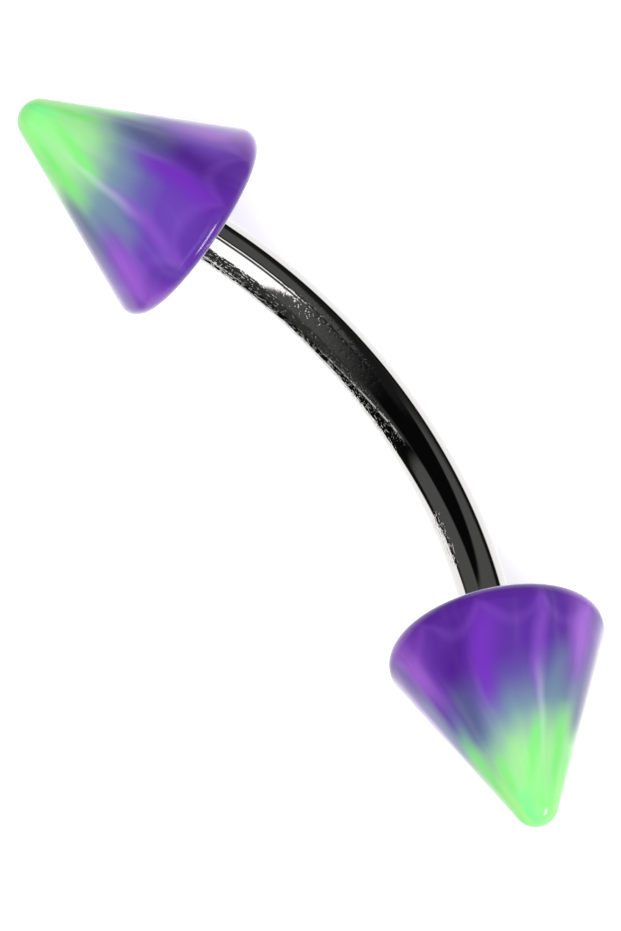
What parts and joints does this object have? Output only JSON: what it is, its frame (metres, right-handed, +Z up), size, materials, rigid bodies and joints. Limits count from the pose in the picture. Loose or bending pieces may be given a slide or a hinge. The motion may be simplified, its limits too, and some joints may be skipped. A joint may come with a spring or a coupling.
{
  "type": "curved eyebrow barbell",
  "caption": "Curved round steel bar with a screwed-on acrylic cone spike at each end, worn through an eyebrow piercing.",
  "frame": {"origin": "on the surface that the barbell lies on, under the centre of its bounding box", "axes": "+X along the straight line between the bar's two ends, towards the lower spike; +Y the side that the bar's bulge leans to; +Z up, away from the surface"},
  "size_m": [0.0212, 0.0052, 0.0048],
  "materials": {
    "polished_steel": "polished",
    "purple_green_acrylic": "gloss"
  },
  "bodies": {
    "bar": {"curved_bar": "polished_steel"},
    "upper_spike": {"upper_spike": "purple_green_acrylic"},
    "lower_spike": {"lower_spike": "purple_green_acrylic"}
  },
  "joints": [
    {"name": "upper_spike_unscrew", "type": "slide", "parent": "bar", "child": "upper_spike", "axis": [-0.8746, -0.1986, 0.4423], "range_m": [0, 0.004]},
    {"name": "lower_spike_unscrew", "type": "slide", "parent": "bar", "child": "lower_spike", "axis": [0.8746, -0.1986, 0.4423], "range_m": [0, 0.004]}
  ]
}
